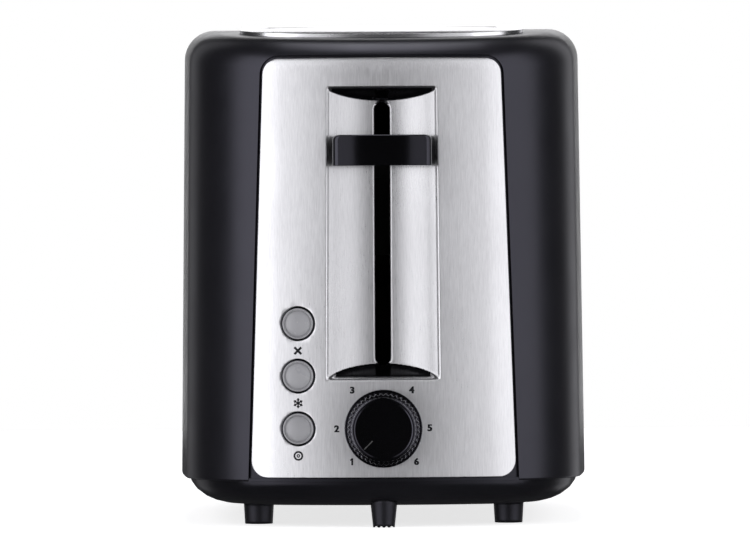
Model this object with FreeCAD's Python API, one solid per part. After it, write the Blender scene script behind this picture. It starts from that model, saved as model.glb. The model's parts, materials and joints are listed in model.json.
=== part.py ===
import FreeCAD, Part
import math
import os
from FreeCAD import Vector

# All sizes are in millimetres.  X is the width, +Y runs from the control end to the rear, +Z is up.
# The origin is on the floor under the middle of the overall length.

# ---- body shell ----
FRONT_Y = -136.0
REAR_Y = 144.0
MID_Y = (FRONT_Y + REAR_Y) / 2
HALF_LENGTH = (REAR_Y - FRONT_Y) / 2
HALF_WIDTH = 85.8
END_RADIUS = 185.0
CORNER_RADIUS = 50.0
SIDE_RADIUS = 900.0
SIDE_DRAFT = 0.0118
SHELL_BOTTOM = 18.9
SHELL_WALL = 2.2
CROWN_TOP = 206.3
CROWN_RADIUS = 920.0
SHOULDER_RADIUS = 12.5

# ---- control panel and the shell openings ----
PANEL_BOTTOM = 20.7
PANEL_TOP = 189.4
PANEL_HALF_BOTTOM = 53.4
PANEL_HALF_TOP = 47.8
PANEL_CORNER = 6.5
PANEL_SHEET = 0.8
PANEL_GAP = 1.2
FRAME_FRONT = 0.9
FRAME_BACK = 2.6
FRAME_LEDGE = 8.0
FRAME_GAP = 0.12
POST_RADIUS = 2.5

# ---- lever recess and lever ----
RECESS_HALF = 21.5
RECESS_RADIUS = 29.0
RECESS_BOTTOM = 60.5
RECESS_TOP = 177.0
RECESS_END_SLOPE = 0.5
LEVER_SLOT_HALF = 3.1
LEVER_SLOT_BOTTOM = 65.6
LEVER_SLOT_TOP = 171.8
LEVER_Z = 152.0
LEVER_TRAVEL = 78.0
LEVER_PROUD = 9.5
LEVER_BULGE_RADIUS = 46.0
LEVER_HALF_WIDTH = 19.8
LEVER_HALF_HEIGHT = 6.0

# ---- knob and buttons ----
KNOB_Z = 40.3
KNOB_RADIUS = 15.65
KNOB_GRIP_RADIUS = 14.0
KNOB_FACE_RADIUS = 12.3
KNOB_FRONT_Y = -153.0
KNOB_FLUTES = 36
KNOB_REST_TURN = -135
SHAFT_RADIUS = 3.0
BUTTON_X = -34.3
BUTTON_Z = {"button_cancel": 82.6, "button_frozen": 61.5, "button_bagel": 40.3}
BUTTON_RADIUS = 6.2
BUTTON_BACK_Y = -127.0
BEZEL_RADIUS = 7.05
BEZEL_BACK_Y = -126.0

# ---- top plate and bread slots ----
PLATE_HALF = 58.0
PLATE_RAISE = 1.4
PLATE_END_INSET = 20.0
SLOT_X = 30.0
SLOT_HALF = 18.0
SLOT_FRONT_Y = -66.0
SLOT_REAR_Y = 84.0
SLOT_FLANGE_BOTTOM = 190.0

# ---- base and feet ----
BASE_BOTTOM = 8.6
BASE_RIM_INSET = 2.6
BASE_UNDERCUT = 3.2
BASE_CURVE_REACH = 18.0
BASE_WALL = 2.2
FOOT_X = 51.4
FOOT_FRONT_Y = -86.0
FOOT_REAR_Y = 112.0
FOOT_RADIUS_LOW = 5.7
FOOT_RADIUS_HIGH = 6.2
CENTRE_FOOT_Y = -121.5

# ---- crumb tray, rear cover and cord inlet ----
TRAY_HALF = 49.6
TRAY_FRONT_Y = -70.0
TRAY_REAR_Y = 130.0
TRAY_BOTTOM = 22.0
TRAY_TOP = 28.0
TRAY_SHEET = 0.6
TRAY_MOUTH_HALF = 51.0
TRAY_MOUTH_TOP = 32.4
COVER_WALL = 2.0
VENT_ROWS = 9
VENT_LOW_Z = 96.0
VENT_PITCH = 9.0
VENT_HEIGHT = 3.2
VENT_SPACING = 25.0
VENT_HALF = 10.0
CORD_X = 36.0
CORD_Z = 52.0
BUSH_RADIUS = 6.0
BUSH_BORE = 3.6

# ---- inner chassis ----
CHASSIS_FLOOR = 21.0
FRONT_BULKHEAD_Y = -78.0
REAR_BULKHEAD_Y = 96.0
CHASSIS_HALF = 64.0
CHASSIS_TOP = 189.0
SHEET = 0.8
BOSS_X = 56.0
BOSS_FRONT_Y = -98.0
BOSS_REAR_Y = 102.0
TAB_HALF = 5.5
HEATER_OFFSET = 24.0
HEATER_THICKNESS = 0.6
GUIDE_OFFSET = 19.0
GUIDE_PIVOT_Z = 36.0
GUIDE_TOP_Z = 184.0
GUIDE_PIVOT_RADIUS = 1.2
RACK_Z = 118.0
ROD_X = 12.0
ROD_Y = -99.0
ROD_RADIUS = 2.5
BOARD_Y = -118.0
BOARD_THICKNESS = 1.6
MAGNET_X = 26.0

FAR = 400.0
bodies = {}


def box(x0, x1, y0, y1, z0, z1):
    return Part.makeBox(x1 - x0, y1 - y0, z1 - z0, Vector(x0, y0, z0))


def rod(start, end, radius):
    axis = end - start
    return Part.makeCylinder(radius, axis.Length, start, axis)


def rod_y(x, z, radius, y0, y1):
    return rod(Vector(x, y0, z), Vector(x, y1, z), radius)


def rod_z(x, y, radius, z0, z1):
    return rod(Vector(x, y, z0), Vector(x, y, z1), radius)


def fuse(shapes):
    joined = shapes[0]
    for shape in shapes[1:]:
        joined = joined.fuse(shape)
    return joined.removeSplitter()


def cut(shape, tools):
    for tool in tools:
        shape = shape.cut(tool)
    return shape


def tube_path(points, radius):
    """Round wire that follows straight runs joined by ball corners."""
    pieces = [rod(a, b, radius) for a, b in zip(points, points[1:])]
    corners = [Part.makeSphere(radius, point) for point in points[1:-1]]
    return fuse(pieces + corners)


def scaled(vector, length):
    unit = Vector(vector)
    unit.normalize()
    return unit * length


def plan_wire(z, inset):
    """Outline of the body at one height, every side moved in by the same inset."""
    half_width = HALF_WIDTH - SIDE_DRAFT * (z - SHELL_BOTTOM)
    end_centre = Vector(0, END_RADIUS - HALF_LENGTH, 0)
    side_centre = Vector(half_width - SIDE_RADIUS, 0, 0)
    reach_end = END_RADIUS - CORNER_RADIUS
    reach_side = SIDE_RADIUS - CORNER_RADIUS
    between = side_centre - end_centre
    span = between.Length
    along = (reach_end ** 2 - reach_side ** 2 + span ** 2) / (2 * span)
    across = math.sqrt(reach_end ** 2 - along ** 2)
    unit = scaled(between, 1)
    normal = Vector(-unit.y, unit.x, 0)
    options = [end_centre + unit * along + normal * side * across for side in (-1, 1)]
    corner = max(options, key=lambda point: point.x)
    from_end = scaled(corner - end_centre, 1)
    from_side = scaled(corner - side_centre, 1)
    end_join = end_centre + from_end * (END_RADIUS - inset)
    side_join = side_centre + from_side * (SIDE_RADIUS - inset)
    corner_mid = corner + scaled(from_end + from_side, CORNER_RADIUS - inset)
    end_mid = Vector(0, -(HALF_LENGTH - inset), 0)
    side_mid = Vector(half_width - inset, 0, 0)

    def at(point, x_sign, y_sign):
        return Vector(point.x * x_sign, point.y * y_sign + MID_Y, z)

    arcs = [
        (at(end_join, -1, 1), at(end_mid, 1, 1), at(end_join, 1, 1)),
        (at(end_join, 1, 1), at(corner_mid, 1, 1), at(side_join, 1, 1)),
        (at(side_join, 1, 1), at(side_mid, 1, 1), at(side_join, 1, -1)),
        (at(side_join, 1, -1), at(corner_mid, 1, -1), at(end_join, 1, -1)),
        (at(end_join, 1, -1), at(end_mid, 1, -1), at(end_join, -1, -1)),
        (at(end_join, -1, -1), at(corner_mid, -1, -1), at(side_join, -1, -1)),
        (at(side_join, -1, -1), at(side_mid, -1, 1), at(side_join, -1, 1)),
        (at(side_join, -1, 1), at(corner_mid, -1, 1), at(end_join, -1, 1)),
    ]
    return Part.Wire([Part.Arc(*arc).toShape() for arc in arcs])


def under_crown(inset, z_low):
    """Everything below the crowned top, moved down by the inset."""
    radius = CROWN_RADIUS - inset
    centre_z = CROWN_TOP - CROWN_RADIUS
    reach = HALF_LENGTH + 40
    end_z = centre_z + math.sqrt(radius ** 2 - reach ** 2)
    x = -HALF_WIDTH - 30
    low_front = Vector(x, MID_Y - reach, z_low)
    low_rear = Vector(x, MID_Y + reach, z_low)
    top_rear = Vector(x, MID_Y + reach, end_z)
    top_front = Vector(x, MID_Y - reach, end_z)
    crown = Part.Arc(top_rear, Vector(x, MID_Y, centre_z + radius), top_front).toShape()
    outline = Part.Wire([
        Part.makeLine(low_front, low_rear),
        Part.makeLine(low_rear, top_rear),
        crown,
        Part.makeLine(top_front, low_front),
    ])
    return Part.Face(outline).extrude(Vector(-2 * x, 0, 0))


def body(inset, z_low=0.0):
    """Solid envelope of the toaster moved in by the inset; negative values grow it."""
    key = (inset, z_low)
    if key not in bodies:
        block = Part.makeLoft([plan_wire(z_low, inset), plan_wire(CROWN_TOP + 8, inset)], True, True)
        crowned = block.common(under_crown(inset, z_low - 10))
        top = max(crowned.Faces, key=lambda face: face.CenterOfMass.z)
        bodies[key] = crowned.makeFillet(SHOULDER_RADIUS - inset, top.Edges)
    return bodies[key]


def skin(outer, inner):
    return body(outer).cut(body(inner, -5.0))


def rounded_prism(corners, y0, y1):
    """Prism along Y from (x, z, radius) corners."""
    count = len(corners)
    edges = []
    joins = []
    for index, (x, z, radius) in enumerate(corners):
        before = corners[index - 1]
        after = corners[(index + 1) % count]
        point = Vector(x, y0, z)
        to_before = scaled(Vector(before[0], y0, before[1]) - point, 1)
        to_after = scaled(Vector(after[0], y0, after[1]) - point, 1)
        half_angle = to_before.getAngle(to_after) / 2
        start = point + to_before * (radius / math.tan(half_angle))
        end = point + to_after * (radius / math.tan(half_angle))
        middle = point + scaled(to_before + to_after, radius / math.sin(half_angle) - radius)
        joins.append((start, middle, end))
    for index, (start, middle, end) in enumerate(joins):
        edges.append(Part.Arc(start, middle, end).toShape())
        edges.append(Part.makeLine(end, joins[(index + 1) % count][0]))
    return Part.Face(Part.Wire(edges)).extrude(Vector(0, y1 - y0, 0))


def panel_prism(grow, y0, y1, bottom=None):
    """Tapered outline of the control panel, grown on every side and optionally run further down."""
    slope = (PANEL_HALF_BOTTOM - PANEL_HALF_TOP) / (PANEL_TOP - PANEL_BOTTOM)
    low = PANEL_BOTTOM - grow if bottom is None else bottom
    high = PANEL_TOP + grow
    half_low = PANEL_HALF_BOTTOM + grow + slope * (PANEL_BOTTOM - low)
    half_high = PANEL_HALF_TOP + grow - slope * (high - PANEL_TOP)
    radius = max(PANEL_CORNER + grow, 1.5)
    corners = [
        (-half_low, low, radius), (half_low, low, radius),
        (half_high, high, radius), (-half_high, high, radius),
    ]
    return rounded_prism(corners, y0, y1)


def stadium_y(x, z, half_width, half_height, y0, y1):
    radius = half_width - 0.01
    corners = [
        (x - half_width, z - half_height, radius), (x + half_width, z - half_height, radius),
        (x + half_width, z + half_height, radius), (x - half_width, z + half_height, radius),
    ]
    return rounded_prism(corners, y0, y1)


# ---------------------------------------------------------------- housing

def outer_shell():
    shell = body(0, SHELL_BOTTOM).cut(body(SHELL_WALL, -5.0))
    front = panel_prism(PANEL_GAP, -FAR, MID_Y, SHELL_BOTTOM - 30)
    rear = panel_prism(PANEL_GAP, MID_Y, FAR, SHELL_BOTTOM - 30)
    return cut(shell, [front, rear, plate_column(0.2)])


def front_frame():
    """Ledge behind the edge of the panel, with a lip under it and posts for the control board."""
    outline = panel_prism(PANEL_GAP - FRAME_GAP, -FAR, MID_Y, SHELL_BOTTOM - 30)
    frame = skin(FRAME_FRONT, FRAME_BACK).common(outline)
    frame = frame.cut(panel_prism(-FRAME_LEDGE, -FAR, FAR))
    lip = skin(0.15, FRAME_BACK).common(outline)
    lip = lip.common(box(-FAR, FAR, -FAR, MID_Y, SHELL_BOTTOM, PANEL_BOTTOM - 0.5))
    posts = [rod_y(x, z, POST_RADIUS, FRONT_Y, BOARD_Y).common(body(FRAME_FRONT + 0.3)) for x, z in board_posts()]
    frame = fuse([frame, lip] + posts)
    return frame.cut(box(-FAR, FAR, -FAR, FAR, -FAR, SHELL_BOTTOM))


def board_posts():
    return [(-47.6, 92.0), (-49.0, 25.0), (23.0, 25.0)]


def recess_space(grow):
    """Concave channel for the lever with sloped ends."""
    centre_y = FRONT_Y - math.sqrt(RECESS_RADIUS ** 2 - RECESS_HALF ** 2)
    channel = rod_z(0, centre_y, RECESS_RADIUS + grow, 0, 220)
    front = FRONT_Y - 40
    back = FRONT_Y + 20
    rise = RECESS_END_SLOPE
    shift = grow * math.sqrt(1 + rise ** 2)
    corners = [
        Vector(-60, front, RECESS_BOTTOM - shift - rise * 40),
        Vector(-60, back, RECESS_BOTTOM - shift + rise * 20),
        Vector(-60, back, RECESS_TOP + shift - rise * 20),
        Vector(-60, front, RECESS_TOP + shift + rise * 40),
    ]
    outline = Part.makePolygon(corners + corners[:1])
    return channel.common(Part.Face(outline).extrude(Vector(120, 0, 0)))


def front_panel():
    sheet = skin(0, PANEL_SHEET).common(panel_prism(0, -FAR, MID_Y))
    lining = recess_space(PANEL_SHEET).common(body(0))
    panel = fuse([sheet, lining])
    slot_middle = (LEVER_SLOT_BOTTOM + LEVER_SLOT_TOP) / 2
    slot_half = (LEVER_SLOT_TOP - LEVER_SLOT_BOTTOM) / 2
    holes = [recess_space(0), stadium_y(0, slot_middle, LEVER_SLOT_HALF, slot_half, -FAR, -100)]
    holes.append(rod_y(0, KNOB_Z, SHAFT_RADIUS + 1.2, -FAR, -100))
    holes += [rod_y(BUTTON_X, z, BEZEL_RADIUS + 0.05, -FAR, -100) for z in BUTTON_Z.values()]
    return cut(panel, holes)


def rear_cover():
    cover = skin(0, COVER_WALL).common(panel_prism(PANEL_GAP - 0.25, MID_Y, FAR, SHELL_BOTTOM - 30))
    cover = cover.cut(box(-FAR, FAR, -FAR, FAR, -FAR, SHELL_BOTTOM))
    vents = []
    for row in range(VENT_ROWS):
        z = VENT_LOW_Z + row * VENT_PITCH
        for x in (-VENT_SPACING, 0, VENT_SPACING):
            vents.append(box(x - VENT_HALF, x + VENT_HALF, MID_Y, FAR, z, z + VENT_HEIGHT))
    tray_mouth = box(-TRAY_MOUTH_HALF, TRAY_MOUTH_HALF, MID_Y, FAR, SHELL_BOTTOM - 5, TRAY_MOUTH_TOP)
    return cut(cover, vents + [tray_mouth, rod_y(CORD_X, CORD_Z, BUSH_RADIUS + 0.05, MID_Y, FAR)])


def plate_column(grow):
    """Vertical column of the top plate outline."""
    column = Part.Face(plan_wire(150, PLATE_END_INSET - grow)).extrude(Vector(0, 0, 80))
    return column.common(box(-PLATE_HALF - grow, PLATE_HALF + grow, -FAR, FAR, 150, 230))


def slot_column(side, grow, z0, z1):
    x0 = side * SLOT_X - SLOT_HALF - grow
    x1 = side * SLOT_X + SLOT_HALF + grow
    column = box(x0, x1, SLOT_FRONT_Y - grow, SLOT_REAR_Y + grow, z0, z1)
    upright = [edge for edge in column.Edges if abs(edge.tangentAt(0).z) > 0.99]
    return column.makeFillet(5.0 + grow, upright)


def top_plate():
    slab = body(-PLATE_RAISE).cut(body(SHELL_WALL, -5.0)).common(plate_column(0))
    collars = [slot_column(side, 1.0, SLOT_FLANGE_BOTTOM, 230).common(body(0)) for side in (-1, 1)]
    return cut(fuse([slab] + collars), [slot_column(side, 0, 150, 230) for side in (-1, 1)])


# ---------------------------------------------------------------- base and feet

def base_hull(extra_inset, lift):
    """Boat shaped underside as stacked plan outlines."""
    steps = 6
    sections = []
    for step in range(steps + 1):
        angle = math.pi / 2 * step / steps
        inset = BASE_UNDERCUT + BASE_CURVE_REACH * (1 - math.sin(angle))
        z = BASE_BOTTOM + (SHELL_BOTTOM - BASE_BOTTOM) * (1 - math.cos(angle)) + lift
        sections.append(plan_wire(z, inset + extra_inset))
    return Part.makeLoft(sections, True, True)


def base_bosses():
    return [(side * BOSS_X, y) for side in (-1, 1) for y in (BOSS_FRONT_Y, BOSS_REAR_Y)]


def base_pan():
    rim = Part.Face(plan_wire(SHELL_BOTTOM, BASE_RIM_INSET)).extrude(Vector(0, 0, 5.5))
    rim_space = Part.Face(plan_wire(SHELL_BOTTOM, BASE_RIM_INSET + 2)).extrude(Vector(0, 0, 20))
    hollow = fuse([base_hull(BASE_WALL, BASE_WALL), rim_space.translated(Vector(0, 0, -1.5))])
    ribs = [box(side * 39 - 1, side * 39 + 1, -70, 124, BASE_BOTTOM + 1, CHASSIS_FLOOR + 0.8) for side in (-1, 1)]
    bosses = [rod_z(x, y, 4.5, BASE_BOTTOM + 1, CHASSIS_FLOOR) for x, y in base_bosses()]
    board_pads = [rod_z(x, y, POST_RADIUS, BASE_BOTTOM + 1, 26) for x, y in power_posts()]
    pan = base_hull(0, 0).fuse(rim).cut(hollow)
    pan = fuse([pan] + ribs + bosses + board_pads)
    rear_gap = box(-TRAY_MOUTH_HALF, TRAY_MOUTH_HALF, REAR_Y - 30, FAR, SHELL_BOTTOM + 0.9, 60)
    front_gap = box(-55, 55, -FAR, FRONT_Y + 14, SHELL_BOTTOM, 60)
    holes = [rod_z(x, y, 1.6, 0, 30) for x, y in base_bosses()]
    sinks = [rod_z(x, y, 3.3, 0, BASE_BOTTOM + 2.4) for x, y in base_bosses()]
    return cut(pan, [rear_gap, front_gap] + holes + sinks)


def power_posts():
    return [(26.0, -112.0), (48.0, -112.0), (48.0, -96.0)]


def foot(x, y):
    """Rubber pad, slightly narrower where it stands."""
    return Part.makeCone(FOOT_RADIUS_LOW, FOOT_RADIUS_HIGH, BASE_BOTTOM, Vector(x, y, 0))


def centre_foot():
    """Grooved pad under the front edge, which rises into the curve of the base."""
    pad = Part.makeCone(4.4, 5.65, 12.0, Vector(0, CENTRE_FOOT_Y, 0))
    grooves = [rod_y(x, 0, 0.55, -140, -100) for x in (-3.1, -1.05, 1.05, 3.1)]
    return cut(pad, grooves + [base_hull(0, 0)])


# ---------------------------------------------------------------- crumb tray

def crumb_tray():
    """Shallow sheet tray with a tongue that reaches its handle."""
    outside = box(-TRAY_HALF, TRAY_HALF, TRAY_FRONT_Y, TRAY_REAR_Y, TRAY_BOTTOM, TRAY_TOP)
    half = TRAY_HALF - TRAY_SHEET
    floor_z = TRAY_BOTTOM + TRAY_SHEET
    inside = box(-half, half, TRAY_FRONT_Y + TRAY_SHEET, TRAY_REAR_Y - TRAY_SHEET, floor_z, TRAY_TOP + 12)
    tongue = box(-18, 18, TRAY_REAR_Y - TRAY_SHEET, REAR_Y, TRAY_BOTTOM, floor_z).common(body(2.5))
    return fuse([outside.cut(inside), tongue])


def tray_handle():
    """Moulded end of the tray: it closes the tray mouth and carries a pull with a finger scoop."""
    half = TRAY_MOUTH_HALF - 0.4
    face = skin(0, 2.4).common(box(-half, half, MID_Y, FAR, SHELL_BOTTOM + 0.5, TRAY_MOUTH_TOP - 0.4))
    pull = box(-17, 17, REAR_Y - 2, REAR_Y + 9, 21.5, 28.5)
    upright = [edge for edge in pull.Edges if abs(edge.tangentAt(0).z) > 0.99]
    pull = pull.makeFillet(1.9, upright)
    scoop = box(-14, 14, REAR_Y + 1.5, REAR_Y + 7, 18, 26)
    return fuse([face, pull]).cut(scoop)


# ---------------------------------------------------------------- controls

def lever_knob():
    """Convex grip bar with a socket for the lever arm."""
    centre_y = FRONT_Y - LEVER_PROUD + LEVER_BULGE_RADIUS
    bar = rod_z(0, centre_y, LEVER_BULGE_RADIUS, LEVER_Z - LEVER_HALF_HEIGHT, LEVER_Z + LEVER_HALF_HEIGHT)
    bar = bar.common(box(-LEVER_HALF_WIDTH, LEVER_HALF_WIDTH, -FAR, FRONT_Y - 1.0, 0, 300))
    rear = [e for e in bar.Edges if abs(e.tangentAt(e.FirstParameter).z) > 0.99 and e.BoundBox.YMax > FRONT_Y - 1.5]
    bar = bar.makeFillet(1.2, rear)
    neck = box(-5, 5, FRONT_Y - 1.5, FRONT_Y + 7.0, LEVER_Z - 4.8, LEVER_Z + 4.8)
    socket = box(-2.05, 2.05, FRONT_Y - 5.0, FAR, LEVER_Z - 4.05, LEVER_Z + 4.05)
    return fuse([bar, neck]).cut(socket)


def lever_arm():
    return box(-2.0, 2.0, FRONT_Y - 4.8, ROD_Y - 7.0, LEVER_Z - 4.0, LEVER_Z + 4.0)


def browning_knob():
    z = KNOB_Z
    flange = rod_y(0, z, KNOB_RADIUS, FRONT_Y - 4.0, FRONT_Y - 1.0)
    grip = rod_y(0, z, KNOB_GRIP_RADIUS, KNOB_FRONT_Y + 1.2, FRONT_Y - 3.5)
    face = rod_y(0, z, KNOB_FACE_RADIUS, KNOB_FRONT_Y, KNOB_FRONT_Y + 2)
    flutes = []
    reach = KNOB_GRIP_RADIUS + 0.3
    for index in range(KNOB_FLUTES):
        angle = 2 * math.pi * index / KNOB_FLUTES
        x = reach * math.cos(angle)
        flutes.append(rod_y(x, z + reach * math.sin(angle), 0.7, KNOB_FRONT_Y - 1, FRONT_Y - 4.0))
    # The pointer groove looks toward the lowest setting at rest.
    groove = box(-0.4, 0.4, KNOB_FRONT_Y - 1, KNOB_FRONT_Y + 0.5, 3, 11.2)
    groove.rotate(Vector(0, 0, 0), Vector(0, 1, 0), KNOB_REST_TURN)
    groove.translate(Vector(0, 0, z))
    bore = rod_y(0, z, SHAFT_RADIUS + 0.02, KNOB_FRONT_Y + 4, FAR)
    return cut(fuse([flange, grip, face]), flutes + [groove, bore])


def knob_shaft():
    return rod_y(0, KNOB_Z, SHAFT_RADIUS, KNOB_FRONT_Y + 4.5, BOARD_Y - 4.0)


def browning_pot():
    case = box(-8, 8, BOARD_Y - 8, BOARD_Y, KNOB_Z - 8, KNOB_Z + 8)
    collar = rod_y(0, KNOB_Z, 4.0, FRONT_Y + 1.5, BOARD_Y - 7)
    return fuse([case, collar]).cut(rod_y(0, KNOB_Z, SHAFT_RADIUS + 0.05, -FAR, BOARD_Y - 3.5))


def push_button(z):
    cap = rod_y(BUTTON_X, z, BUTTON_RADIUS, -FAR, BUTTON_BACK_Y).common(body(-0.8))
    stem = rod_y(BUTTON_X, z, 2.0, BUTTON_BACK_Y - 1.0, BOARD_Y - 5.8)
    return fuse([cap, stem])


def button_bezels():
    rings = []
    for z in BUTTON_Z.values():
        ring = rod_y(BUTTON_X, z, BEZEL_RADIUS, -FAR, BEZEL_BACK_Y).common(body(-0.25))
        collar = rod_y(BUTTON_X, z, BEZEL_RADIUS + 1.4, -FAR, BEZEL_BACK_Y).common(body(PANEL_SHEET))
        rings.append(fuse([ring, collar]).cut(rod_y(BUTTON_X, z, BUTTON_RADIUS + 0.08, -FAR, 0)))
    return Part.makeCompound(rings)


def button_switches():
    switches = []
    for z in BUTTON_Z.values():
        case = box(BUTTON_X - 3, BUTTON_X + 3, BOARD_Y - 3.4, BOARD_Y, z - 3, z + 3)
        switches.append(fuse([case, rod_y(BUTTON_X, z, 1.7, BOARD_Y - 4.4, BOARD_Y - 3)]))
    return Part.makeCompound(switches)


def control_board():
    back = BOARD_Y + BOARD_THICKNESS
    low = box(-51, 26, BOARD_Y, back, 21.6, 57)
    high = box(-51, -12, BOARD_Y, back, 21.6, 98)
    chips = box(-30, -18, back, back + 1.6, 60, 72)
    return cut(fuse([low, high, chips]), [rod_y(x, z, 1.3, -FAR, 0) for x, z in board_posts()])


def board_screws():
    screws = []
    for x, z in board_posts():
        head = rod_y(x, z, 2.4, BOARD_Y + BOARD_THICKNESS, BOARD_Y + 3.4)
        shank = rod_y(x, z, 1.25, BOARD_Y, BOARD_Y + BOARD_THICKNESS + 0.1)
        drive = box(x - 0.3, x + 0.3, BOARD_Y + 2.8, BOARD_Y + 4, z - 1.6, z + 1.6)
        screws.append(fuse([head, shank]).cut(drive))
    return Part.makeCompound(screws)


# ---------------------------------------------------------------- lift mechanism

def mechanism_bracket():
    back = FRONT_BULKHEAD_Y - SHEET
    web = box(-20, 20, back - 1.6, back, 24, 190)
    flanges = [box(-20, 20, ROD_Y - 8, back, z, z + 1.6) for z in (24, 188.4)]
    holes = [rod_z(side * ROD_X, ROD_Y, ROD_RADIUS + 0.05, 0, 220) for side in (-1, 1)]
    for x, _ in guide_centres()[1:3]:
        holes.append(rod_y(x, GUIDE_PIVOT_Z, 2 * GUIDE_PIVOT_RADIUS, -FAR, 0))
    return cut(fuse([web] + flanges), holes)


def guide_rods():
    return Part.makeCompound([rod_z(side * ROD_X, ROD_Y, ROD_RADIUS, 23, 191) for side in (-1, 1)])


def carriage():
    """Slider block on the rods with the cross plate that carries both bread racks."""
    block = box(-19, 19, ROD_Y - 7, ROD_Y + 7, LEVER_Z - 10, LEVER_Z + 10)
    plate = box(-34, 34, ROD_Y + 7, ROD_Y + 8.6, RACK_Z - 8, LEVER_Z)
    latch_arm = box(19, 33, ROD_Y - 5, ROD_Y + 7, LEVER_Z - 8, LEVER_Z - 5)
    holes = [rod_z(side * ROD_X, ROD_Y, ROD_RADIUS + 0.06, 0, 220) for side in (-1, 1)]
    return cut(fuse([block, plate, latch_arm]), holes)


def latch_plate():
    return box(21, 31, ROD_Y - 5, ROD_Y + 5, LEVER_Z - 10, LEVER_Z - 8)


def bread_rack(side):
    x = side * SLOT_X
    web = box(x - 0.75, x + 0.75, ROD_Y + 8.6, 80, RACK_Z - 8, RACK_Z)
    pieces = [web, box(x - 1.6, x + 1.6, -64, 80, RACK_Z, RACK_Z + 1.2)]
    for index in range(10):
        y = -60 + index * 15
        pieces.append(box(x - 7, x + 7, y - 1.5, y + 1.5, RACK_Z, RACK_Z + 1.2))
    return fuse(pieces)


def lift_spring():
    """Spring on one guide rod, from the lower flange to the slider."""
    low = 25.6
    high = LEVER_Z - 10
    wire = 0.6
    turns = 14
    pitch = (high - low - 2 * wire - 0.4) / turns
    helix = Part.makeHelix(pitch, pitch * turns, 4.3)
    helix.translate(Vector(-ROD_X, ROD_Y, low + wire + 0.2))
    start = Vector(-ROD_X + 4.3, ROD_Y, low + wire + 0.2)
    profile = Part.Wire([Part.makeCircle(wire, start, Vector(0, 1, 0))])
    return Part.Wire(helix.Edges).makePipeShell([profile], True, True)


def magnet_core():
    x, y = MAGNET_X, ROD_Y
    top = LEVER_Z - 10 - LEVER_TRAVEL - 0.4
    base = box(x - 5, x + 5, y - 5, y + 5, 27.6, 34)
    middle = rod_z(x, y, 2.4, 33, top)
    return fuse([base, middle, rod_z(x, y, 4.2, top - 3, top)])


def magnet_coil():
    x, y = MAGNET_X, ROD_Y
    top = LEVER_Z - 10 - LEVER_TRAVEL - 4.4
    return rod_z(x, y, 5.6, 34.2, top).cut(rod_z(x, y, 2.6, 0, 100))


def power_board():
    return box(20.6, 52, -114.2, ROD_Y + 6.6, 26, 27.6)


def power_relay():
    case = box(36, 50, -113.5, -98, 27.6, 42)
    return case.makeFillet(0.8, [e for e in case.Edges if abs(e.tangentAt(0).z) > 0.99])


def switch_contacts():
    leaves = []
    for y in (-113.5, -107.5):
        foot_part = box(28, 34, y, y + 3, 27.6, 28.2)
        upright = box(28, 28.6, y, y + 3, 27.6, 44)
        leaves.append(fuse([foot_part, upright]))
    return Part.makeCompound(leaves)


# ---------------------------------------------------------------- chassis and heating

def guide_centres():
    """X position and inward tilt sign of the four bread guides, left to right."""
    return [
        (-SLOT_X - GUIDE_OFFSET, 1), (-SLOT_X + GUIDE_OFFSET, -1),
        (SLOT_X - GUIDE_OFFSET, 1), (SLOT_X + GUIDE_OFFSET, -1),
    ]


def heater_centres():
    """X position and bread side sign of the four heater boards, left to right."""
    return [
        (-SLOT_X - HEATER_OFFSET, 1), (-SLOT_X + HEATER_OFFSET, -1),
        (SLOT_X - HEATER_OFFSET, 1), (SLOT_X + HEATER_OFFSET, -1),
    ]


def pivot_holes():
    return [rod_y(x, GUIDE_PIVOT_Z, GUIDE_PIVOT_RADIUS + 0.06, -FAR, FAR) for x, _ in guide_centres()]


def front_bulkhead():
    y = FRONT_BULKHEAD_Y
    sheet = box(-CHASSIS_HALF, CHASSIS_HALF, y - SHEET, y, CHASSIS_FLOOR, CHASSIS_TOP)
    tab_front = BOSS_FRONT_Y - TAB_HALF
    tab_top = CHASSIS_FLOOR + SHEET
    tabs = [box(x - TAB_HALF, x + TAB_HALF, tab_front, y, CHASSIS_FLOOR, tab_top) for x in (-BOSS_X, BOSS_X)]
    slits = [box(s * SLOT_X - 2.5, s * SLOT_X + 2.5, -FAR, FAR, 29, 135) for s in (-1, 1)]
    holes = [rod_z(x, yy, 1.6, 0, 60) for x, yy in base_bosses()]
    return cut(fuse([sheet] + tabs), slits + holes + pivot_holes())


def rear_bulkhead():
    y = REAR_BULKHEAD_Y
    sheet = box(-CHASSIS_HALF, CHASSIS_HALF, y, y + SHEET, CHASSIS_FLOOR, CHASSIS_TOP)
    tabs = [box(s * 57 - 6, s * 57 + 7, y, y + 12, CHASSIS_FLOOR, CHASSIS_FLOOR + SHEET) for s in (-1, 1)]
    tray_way = box(-50.6, 50.6, 0, 200, 0, 29)
    holes = [rod_z(x, yy, 1.6, 0, 60) for x, yy in base_bosses()]
    return cut(fuse([sheet] + tabs), [tray_way] + holes + pivot_holes())


def side_liner(side):
    x0 = side * CHASSIS_HALF
    x1 = side * (CHASSIS_HALF - 0.6)
    sheet = box(min(x0, x1), max(x0, x1), FRONT_BULKHEAD_Y, REAR_BULKHEAD_Y, 24, CHASSIS_TOP - 1)
    louvres = []
    for index in range(8):
        y = -60 + index * 19
        louvres.append(box(-100, 100, y, y + 10, 150, 153))
        louvres.append(box(-100, 100, y, y + 10, 60, 63))
    return cut(sheet, louvres)


def heater_board(x):
    half = HEATER_THICKNESS / 2
    return box(x - half, x + half, FRONT_BULKHEAD_Y, REAR_BULKHEAD_Y, 32, 178)


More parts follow.
